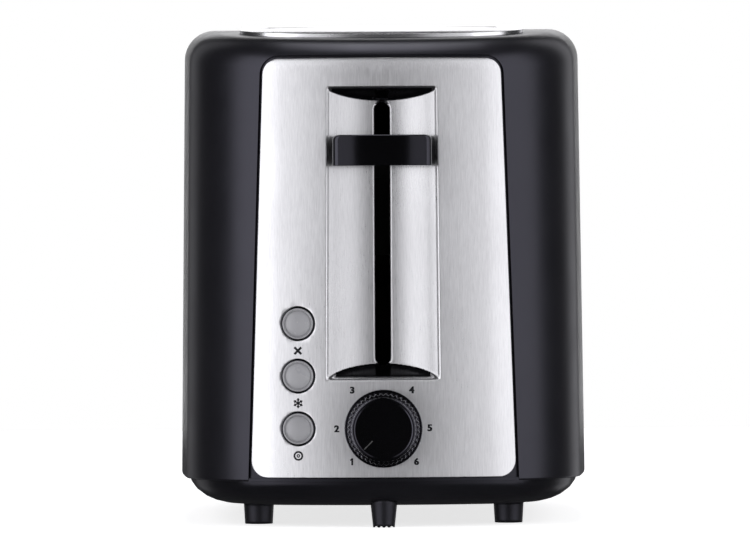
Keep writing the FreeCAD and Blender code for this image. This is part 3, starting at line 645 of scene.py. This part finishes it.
def build_panel():
    """Pressed control panel, with a fine grid where the channel turns in."""
    edge = RECESS_HALF
    half = PANEL_HALF_BOTTOM + 3
    near_slot = LEVER_SLOT_HALF - 0.2
    right = graded([
        (0, 0.9), (near_slot, 0.12), (near_slot + SLOT_ROLL + 0.4, 0.9),
        (edge - 5, 0.28), (edge + 4.5, 0.9), (half, 1),
    ])
    columns = [-x for x in reversed(right[1:])] + right
    rows = graded([
        (PANEL_BOTTOM - 3, 2.0), (RECESS_BOTTOM - 3, 0.26), (RECESS_BOTTOM + 8, 3.0),
        (RECESS_TOP - 8, 0.26), (RECESS_TOP + 3, 0.7), (PANEL_TOP + 2.4, 1),
    ])
    front = []
    for z in rows:
        front += [(x, end_face_y(x, z) + recess_depth(x, z), z) for x in columns]
    verts = front + [(x, y + PANEL_SHEET, z) for x, y, z in front]
    width = len(columns)
    last = len(rows) - 1
    offset = len(front)
    faces = []
    for row in range(last):
        for step in range(width - 1):
            a = row * width + step
            faces.append((a, a + 1, a + width + 1, a + width))
            faces.append((offset + a, offset + a + width, offset + a + width + 1, offset + a + 1))
    border = list(range(width - 1))
    border += [row * width + width - 1 for row in range(last)]
    border += [last * width + step for step in range(width - 1, 0, -1)]
    border += [row * width for row in range(last, 0, -1)]
    for index, a in enumerate(border):
        b = border[(index + 1) % len(border)]
        faces.append((a, a + offset, b + offset, b))
    panel = make_mesh("panel_skin", verts, faces, PANEL_STEEL)
    fix_normals(panel)
    cut_with(panel, [prism("keep", panel_outline(0.0), -200, 0)], "INTERSECT")
    round_end = LEVER_SLOT_HALF - 0.01
    slot = rounded_outline([
        (-LEVER_SLOT_HALF, LEVER_SLOT_BOTTOM, round_end), (LEVER_SLOT_HALF, LEVER_SLOT_BOTTOM, round_end),
        (LEVER_SLOT_HALF, LEVER_SLOT_TOP, round_end), (-LEVER_SLOT_HALF, LEVER_SLOT_TOP, round_end),
    ])
    holes = [prism("slot", slot, -200, 0), prism("knob", circle_outline(0, KNOB_Z, KNOB_SHAFT_HOLE), -200, 0)]
    holes += [prism("button", circle_outline(BUTTON_X, z, BUTTON_HOLE), -200, 0) for z in BUTTON_Z.values()]
    cut_with(panel, holes)
    bevel(panel, 0.25, 2, 50)
    bake_modifiers(panel)
    paint_channel_shade(panel)
    lay_flat_uv(panel)
    shade(panel, 40)
    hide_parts("front_panel")
    return panel


def paint_channel_shade(panel):
    """Painted shade in the lever channel: darker steel on its walls and black on its two end faces."""
    panel.data.materials.append(PLASTIC["control"])
    panel.data.materials.append(CHANNEL_SHADE_STEEL)
    black, channel = 1, 2
    for polygon in panel.data.polygons:
        side = abs(polygon.center.x) / MM
        height = polygon.center.z / MM
        tilt = polygon.normal.z
        # painted shade: the channel walls get the darker steel where the pressed channel sits in shade
        if side < RECESS_HALF + 0.8 and RECESS_BOTTOM - 0.3 < height < RECESS_TOP + 0.3:
            polygon.material_index = channel
        # painted shade: black plastic on the channel's top and bottom end faces stands in for their shadow
        at_top = tilt < -0.5 and RECESS_TOP - 7 < height < RECESS_TOP
        at_bottom = tilt > 0.5 and RECESS_BOTTOM + 0.7 < height < RECESS_BOTTOM + 7
        if (at_top and side < RECESS_HALF - 1.3) or (at_bottom and side < RECESS_HALF - 2.5):
            polygon.material_index = black


def lay_flat_uv(piece):
    """UV layer straight from X and Z, which gives the brushed steel its direction."""
    layer = piece.data.uv_layers.get("flat") or piece.data.uv_layers.new(name="flat")
    for loop in piece.data.loops:
        place = piece.data.vertices[loop.vertex_index].co
        layer.data[loop.index].uv = (place.x * 4 + 0.5, place.z * 4)


# ---------------------------------------------------------------- controls

def lathe(name, profile, x, z, material, body, count=96, ripple=None, ring=False):
    """Turned piece round an axis along Y from (radius, y) points, with flat ends or closed into a ring.

    The ripple changes the radius round the turn.
    """
    verts = []
    faces = []
    for radius, y in profile:
        for index in range(count):
            angle = 2 * math.pi * index / count
            r = radius + (ripple(angle, y) if ripple else 0.0)
            verts.append((x + r * math.cos(angle), y, z + r * math.sin(angle)))
    bridge(faces, 0, count, len(profile))
    last = (len(profile) - 1) * count
    if ring:
        for index in range(count):
            after = (index + 1) % count
            faces.append((last + index, last + after, after, index))
    else:
        faces.append(tuple(range(count)))
        faces.append(tuple(reversed([last + index for index in range(count)])))
    piece = make_mesh(name, verts, faces, material, body)
    fix_normals(piece)
    return piece


def build_knob():
    """Browning dial: a flange, a fluted grip and a smooth cap with a shallow dish."""
    flange = [
        (3.1, -137.0), (15.35, -137.0), (15.55, -137.15), (15.65, -137.4), (15.65, -138.5), (15.55, -138.72),
        (15.35, -138.8), (15.2, -138.8), (14.6, -138.8),
    ]
    grip = [(14.55, -139.0), (14.5, -142.0), (14.45, -149.2), (14.35, -149.7), (14.1, -150.0)]
    cap = [
        (13.2, -150.05), (13.05, -150.15), (12.95, -150.6), (12.9, -152.3), (12.75, -152.75), (12.4, -152.97),
        (12.0, -153.0), (11.7, -152.95), (11.4, -152.8), (11.3, -152.78), (11.1, -152.78), (0.3, -152.78),
    ]

    def ripple(angle, y):
        if y < grip[-1][1] or y > grip[0][1]:
            return 0.0
        phase = (angle * KNOB_FLUTES / (2 * math.pi)) % 1.0
        return -KNOB_FLUTE_DEPTH * abs(2 * phase - 1)

    knob = lathe("dial_skin", flange + grip + cap, 0, KNOB_Z, PLASTIC["control"], "browning_dial",
                 KNOB_FLUTES * 8, ripple)
    shade(knob, 30)
    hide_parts("browning_knob")
    return knob


def build_pointer():
    """Raised line on the dial face that points at the lowest setting at rest."""
    half_width, thickness = 0.22, 0.6
    direction = Vector((-1, 0, -1)).normalized()
    across = Vector((direction.z, 0, -direction.x))
    verts = []
    for along, y in ((6.2, -152.85), (11.0, -152.95)):
        for side in (-1, 1):
            point = direction * along + across * half_width * side + Vector((0, y, KNOB_Z))
            verts.append(point)
            verts.append(point + Vector((0, thickness, 0)))
    faces = [(0, 2, 6, 4), (1, 5, 7, 3), (0, 4, 5, 1), (2, 3, 7, 6), (0, 1, 3, 2), (4, 6, 7, 5)]
    pointer = make_mesh("dial_pointer", verts, faces, POINTER_INK, "browning_dial")
    fix_normals(pointer)
    return pointer


def lever_outline(half, push):
    """Plan loop of the grip: convex front, round end corners and a straight back."""
    bulge, edge = 90.0, 2.6
    front = LEVER_FRONT_Y + push
    start = math.asin((half - edge) / (bulge - edge))
    corner = Vector((half - edge, front + bulge - math.cos(start) * (bulge - edge)))
    right = []
    for step in range(25):
        angle = start * step / 24
        right.append((bulge * math.sin(angle), front + bulge - bulge * math.cos(angle)))
    for step in range(1, 9):
        angle = start + (math.pi / 2 - start) * step / 8
        right.append((corner.x + edge * math.sin(angle), corner.y - edge * math.cos(angle)))
    right.append((half, LEVER_BACK_Y))
    return right + [(-x, y) for x, y in reversed(right[1:])]


def build_lever():
    """Convex grip bar with round upper corners, and its neck."""
    low, high = LEVER_Z - 6.25, LEVER_Z + 6.15
    corner, edge = 2.2, 0.8
    drops = [0.0, 0.03, 0.1, 0.2, 0.35, 0.5, 0.65, 0.8, 1.2, 1.7, 2.2]
    levels = [(low, 0.0, 0.3), (low + 0.08, 0.0, 0.08), (low + 0.3, 0.0, 0.0)]
    for drop in reversed(drops):
        inward = corner - math.sqrt(corner ** 2 - (corner - drop) ** 2)
        push = edge - math.sqrt(max(edge ** 2 - max(edge - drop, 0.0) ** 2, 0.0))
        levels.append((high - drop, inward, push))
    rings = [[(x, y, z) for x, y in lever_outline(LEVER_HALF - inward, push)] for z, inward, push in levels]
    count = len(rings[0])
    verts = [point for ring in rings for point in ring]
    faces = []
    bridge(faces, 0, count, len(rings))
    faces.append(tuple(range(count)))
    faces.append(tuple(reversed([(len(rings) - 1) * count + i for i in range(count)])))
    bar = make_mesh("lever_skin", verts, faces, PLASTIC["control"], "lift")
    fix_normals(bar)
    shade(bar, 40)
    neck = prism("lever_neck", rounded_outline([
        (-5, LEVER_Z - 4.8, 1), (5, LEVER_Z - 4.8, 1),
        (5, LEVER_Z + 4.8, 1), (-5, LEVER_Z + 4.8, 1),
    ], 4), FRONT_Y - 1.5, FRONT_Y + 7.0)
    neck.data.materials.append(PLASTIC["control"])
    shade(neck, 40)
    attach(neck, "lift")
    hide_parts("lever_knob")
    return bar


def build_button(name, z, surface_y):
    """Round cap: a raised rim, a groove and a domed face level with the rim."""
    y = surface_y
    dome_radius = 14.0
    profile = [
        (2.0, -124.0), (2.0, -127.4), (5.6, -127.4), (6.2, -127.8), (6.2, y + 0.5), (6.15, y + 0.2),
        (6.02, y + 0.05), (5.87, y), (5.72, y + 0.08), (5.6, y + 0.4), (5.45, y + 1.0), (5.25, y + 1.1),
    ]
    for step in range(14):
        radius = 5.1 - 5.0 * step / 13
        profile.append((radius, y + dome_radius - math.sqrt(dome_radius ** 2 - radius ** 2)))
    cap = lathe(f"{name}_cap", profile, BUTTON_X, z, PLASTIC["button"], name)
    shade(cap, 40)
    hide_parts(f"button_{name}")
    return cap


def build_bezel(name, z, surface_y):
    """Thin dark ring round a button, rounded towards the front."""
    y = surface_y
    profile = [
        (6.3, -127.0), (6.3, y + 0.5), (6.36, y + 0.2), (6.5, y + 0.05), (6.62, y), (6.8, y + 0.12),
        (6.88, y + 0.4), (6.88, -127.0),
    ]
    ring = lathe(f"{name}_ring", profile, BUTTON_X, z, PLASTIC["control"], "housing",
                 ring=True)
    shade(ring, 40)
    return ring


def pointer_paint(name):
    m = Nodes(name)
    m.tint(m.noise(700.0), (0.03, 0.03, 0.03), (0.045, 0.045, 0.045))
    m.rough(m.noise(300.0), 0.4, 0.6)
    return m.material


POINTER_INK = pointer_paint("pointer_paint")


# ---------------------------------------------------------------- printed marks

def lay_on_panel(points, x0, z0, lift=INK_LIFT):
    """Puts flat (u, v) points in millimetres on the panel face."""
    return [(x0 + u, end_face_y(x0 + u, z0 + v) - lift, z0 + v) for u, v in points]


def font_digit(text, height):
    """One digit in Blender's own font, centred and scaled, as flat points and faces."""
    curve = bpy.data.curves.new("digit", "FONT")
    curve.body = text
    curve.align_x = "CENTER"
    curve.align_y = "CENTER"
    curve.offset = 0.034
    curve.resolution_u = 6
    shape = bpy.data.objects.new("digit", curve)
    bpy.context.scene.collection.objects.link(shape)
    bpy.context.view_layer.update()
    mesh = bpy.data.meshes.new_from_object(shape)
    bpy.data.objects.remove(shape)
    xs = [v.co.x for v in mesh.vertices]
    ys = [v.co.y for v in mesh.vertices]
    size = height / (max(ys) - min(ys))
    mid_x = (max(xs) + min(xs)) / 2
    mid_y = (max(ys) + min(ys)) / 2
    points = [((x - mid_x) * size, (y - mid_y) * size) for x, y in zip(xs, ys)]
    return points, [tuple(polygon.vertices) for polygon in mesh.polygons]


def plain_one(height):
    """A 1 made of an upright and a short flag, as flat points and faces."""
    quads = stroke([(0.25, -height / 2), (0.25, height / 2)], 0.72)
    quads += stroke([(0.3, height / 2 - 0.25), (-0.55, height / 2 - 0.8)], 0.55)
    points = [point for quad in quads for point in quad]
    return points, [tuple(range(4 * index, 4 * index + 4)) for index in range(len(quads))]


def build_numbers():
    """Numbers 1 to 6 round the dial, laid on the curved panel and printed bold by small side shifts."""
    places = {
        "1": (-12.9, -13.3), "2": (-18.8, 0.0), "3": (-12.5, 15.5),
        "4": (11.4, 15.5), "5": (18.6, 0.2), "6": (13.2, -13.3),
    }
    verts = []
    faces = []
    for text, (dx, dz) in places.items():
        if text == "1":
            points, polygons = plain_one(DIGIT_HEIGHT)
            shifts = [0.0]
        else:
            points, polygons = font_digit(text, DIGIT_HEIGHT)
            shifts = [-0.15, 0.0, 0.15]
        for shift in shifts:
            start = len(verts)
            moved = [(u + shift, v) for u, v in points]
            verts += lay_on_panel(moved, dx, KNOB_Z + dz, INK_LIFT + shift / 20)
            faces += [tuple(start + index for index in polygon) for polygon in polygons]
    return make_mesh("dial_numbers", verts, faces, INK, "housing")


def stroke(points, width):
    """Flat strip of quads along (u, v) points."""
    quads = []
    for (u0, v0), (u1, v1) in zip(points, points[1:]):
        length = math.hypot(u1 - u0, v1 - v0)
        nu = -(v1 - v0) / length * width / 2
        nv = (u1 - u0) / length * width / 2
        quads.append([(u0 + nu, v0 + nv), (u0 - nu, v0 - nv), (u1 - nu, v1 - nv), (u1 + nu, v1 + nv)])
    return quads


def symbol_strokes(kind):
    """Plain pictograms under the buttons: a cross, a snowflake and a ring."""
    reach = 2.0
    twig = 0.75
    quads = []
    if kind == "cancel":
        quads += stroke([(-1.4, -1.4), (1.4, 1.4)], 0.9)
        quads += stroke([(-1.4, 1.4), (1.4, -1.4)], 0.9)
    if kind == "frozen":
        for index in range(6):
            a = math.pi / 3 * index + math.pi / 6
            c = math.cos(a)
            s = math.sin(a)
            quads += stroke([(0, 0), (reach * c, reach * s)], 0.56)
            base = (reach * 0.5 * c, reach * 0.5 * s)
            for side in (-1, 1):
                b = a + side * math.pi / 4
                tip = (base[0] + twig * math.cos(b), base[1] + twig * math.sin(b))
                quads += stroke([base, tip], 0.45)
    if kind == "bagel":
        for radius, width in ((1.6, 0.75), (0.5, 0.5)):
            angles = [index * math.pi / 24 for index in range(49)]
            quads += stroke([(radius * math.cos(a), radius * math.sin(a)) for a in angles], width)
    return quads


def build_symbols():
    """The pictogram under each button, laid on the curved panel."""
    verts = []
    faces = []
    for kind, z in BUTTON_Z.items():
        for quad in symbol_strokes(kind):
            start = len(verts)
            verts += lay_on_panel(quad, BUTTON_X, z - SYMBOL_DROP)
            faces.append((start, start + 1, start + 2, start + 3))
    return make_mesh("button_symbols", verts, faces, INK, "housing")


# ---------------------------------------------------------------- inner pieces

def build_spring():
    """Lift spring as a swept coil."""
    turns, radius, wire = 14, 4.3, 0.6
    steps, sides = turns * 24, 8
    rise = SPRING_LENGTH - 2 * wire
    verts = []
    faces = []
    for step in range(steps + 1):
        angle = 2 * math.pi * turns * step / steps
        z = SPRING_LOW + wire + rise * step / steps
        out = Vector((math.cos(angle), math.sin(angle), 0))
        centre = Vector((SPRING_X, SPRING_Y, z)) + out * radius
        for side in range(sides):
            turn = 2 * math.pi * side / sides
            verts.append(centre + (out * math.cos(turn) + Vector((0, 0, 1)) * math.sin(turn)) * wire)
    bridge(faces, 0, sides, steps + 1)
    faces.append(tuple(range(sides)))
    faces.append(tuple(reversed([steps * sides + side for side in range(sides)])))
    spring = make_mesh("spring_coil", verts, faces, PLATED_STEEL, "housing")
    fix_normals(spring)
    shade(spring, 60)
    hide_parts("lift_spring")
    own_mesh(spring)
    return spring


# ---------------------------------------------------------------- set and camera

def build_set():
    """Pale floor left out of reflections, and a pale card that only the reflections show."""
    near, turn, radius, top = -0.40, 1.15, 0.35, 1.0
    floor = studio_strip("studio_floor", [(near, 0.0), (0.3, 0.0), (turn, 0.0)], 0.75, 0.75)
    floor.visible_glossy = False
    curve = [(turn, 0.0)]
    for step in range(1, 13):
        angle = math.pi / 2 * step / 12
        curve.append((turn + radius * math.sin(angle), radius * (1 - math.cos(angle))))
    card = studio_strip("studio_backdrop", curve + [(turn + radius, top)], 0.4, 0.9)
    card.visible_camera = False


def studio_strip(name, profile, half, glow):
    """Sheet of matt paper along (y, z) points in metres that also glows a little."""
    verts = []
    for y, z in profile:
        verts += [(-half / MM, y / MM, z / MM), (half / MM, y / MM, z / MM)]
    faces = [(2 * row, 2 * row + 1, 2 * row + 3, 2 * row + 2) for row in range(len(profile) - 1)]
    m = Nodes(f"{name}_paper")
    m.tint(m.noise(3.0), (0.90, 0.90, 0.90), (0.92, 0.92, 0.92))
    m.set(Roughness=0.9, Emission_Strength=glow, Emission_Color=(1, 1, 1, 1), Specular_IOR_Level=0.1)
    strip = make_mesh(name, verts, faces, m.material, body=None)
    for polygon in strip.data.polygons:
        polygon.use_smooth = True
    return strip


def softbox(name, azimuth, half_angle, height, radiance, distance=1.45):
    """Upright rectangular light; azimuth is measured from the camera's side towards the right."""
    a = math.radians(azimuth)
    width = 2 * distance * math.tan(math.radians(half_angle))
    middle = 0.62
    place = (distance * math.sin(a), FRONT_Y * MM - distance * math.cos(a), middle)
    power = radiance * math.pi * width * height
    return area_light(name, place, (0, FRONT_Y * MM, middle), (width, height), power)


def overhead(name, elevation, half_angle, width, radiance, distance=1.3):
    """Rectangular light above; elevation is measured from the camera's side up and over."""
    a = math.radians(elevation)
    place = (0, FRONT_Y * MM - distance * math.cos(a), 0.19 + distance * math.sin(a))
    depth = 2 * distance * math.tan(math.radians(half_angle))
    power = radiance * math.pi * width * depth
    return area_light(name, place, (0, FRONT_Y * MM, 0.19), (width, depth), power)


def area_light(name, place, target, size, power):
    """Rectangular light at a place, facing a target."""
    data = bpy.data.lights.new(name, "AREA")
    data.shape = "RECTANGLE"
    data.size, data.size_y = size
    data.energy = power
    data.color = (0.975, 0.97, 1.0)
    light = bpy.data.objects.new(name, data)
    bpy.context.scene.collection.objects.link(light)
    light.location = place
    light.rotation_euler = (Vector(target) - Vector(place)).to_track_quat("-Z", "Y").to_euler()
    return light


def build_lights():
    """Tall softboxes on both sides, two narrow ones behind for the rims, and one light above."""
    height = 2.6
    softbox("soft_left", -52, 24, height, 2.05)
    softbox("soft_left_core", -36, 6, height, 0.6)
    softbox("soft_left_inner", -21, 6, height, 0.8)
    softbox("soft_right", 57, 28, height, 1.6)
    softbox("soft_right_core", 38, 6, height, 0.4)
    softbox("soft_right_inner", 21, 6, height, 0.7)
    softbox("soft_rim_left", -142, 12, height, 0.35)
    softbox("soft_rim_right", 142, 12, height, 0.7)
    overhead("soft_top", 98, 18, 0.4, 3.6)
    build_world()


def build_world():
    """Nearly dark surroundings for the object, and a plain white background for the camera."""
    world = bpy.data.worlds.new("studio")
    world.use_nodes = True
    tree = world.node_tree
    around = tree.nodes["Background"]
    around.inputs["Color"].default_value = (0.97, 0.97, 1, 1)
    around.inputs["Strength"].default_value = 0.035
    white = tree.nodes.new("ShaderNodeBackground")
    white.inputs["Color"].default_value = (1, 1, 1, 1)
    white.inputs["Strength"].default_value = 1.0
    ray = tree.nodes.new("ShaderNodeLightPath")
    choose = tree.nodes.new("ShaderNodeMixShader")
    tree.links.new(ray.outputs["Is Camera Ray"], choose.inputs["Fac"])
    tree.links.new(around.outputs["Background"], choose.inputs[1])
    tree.links.new(white.outputs["Background"], choose.inputs[2])
    tree.links.new(choose.outputs["Shader"], tree.nodes["World Output"].inputs["Surface"])
    bpy.context.scene.world = world


def build_camera():
    """Level camera at the height of the body's middle, square to the control end."""
    distance = 1.975
    width_in_view = 0.3012
    data = bpy.data.cameras.new("view")
    data.sensor_width = 36.0
    data.lens = data.sensor_width * distance / width_in_view
    camera = bpy.data.objects.new("view", data)
    bpy.context.scene.collection.objects.link(camera)
    camera.location = (-0.0031, FRONT_Y * MM - distance, 0.101)
    camera.rotation_euler = (math.radians(90), math.radians(0.3), 0)
    bpy.context.scene.camera = camera


dress_cad_nodes()
build_shell()
build_panel()
build_knob()
build_pointer()
build_lever()
for button, height in BUTTON_Z.items():
    face_y = end_face_y(BUTTON_X, height)
    build_button(button, height, face_y - BUTTON_PROUD)
    build_bezel(button, height, face_y - BEZEL_PROUD)
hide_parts("button_bezels")
build_numbers()
build_symbols()
build_spring()
build_set()
build_lights()
build_camera()
bpy.context.scene.view_settings.view_transform = "Standard"
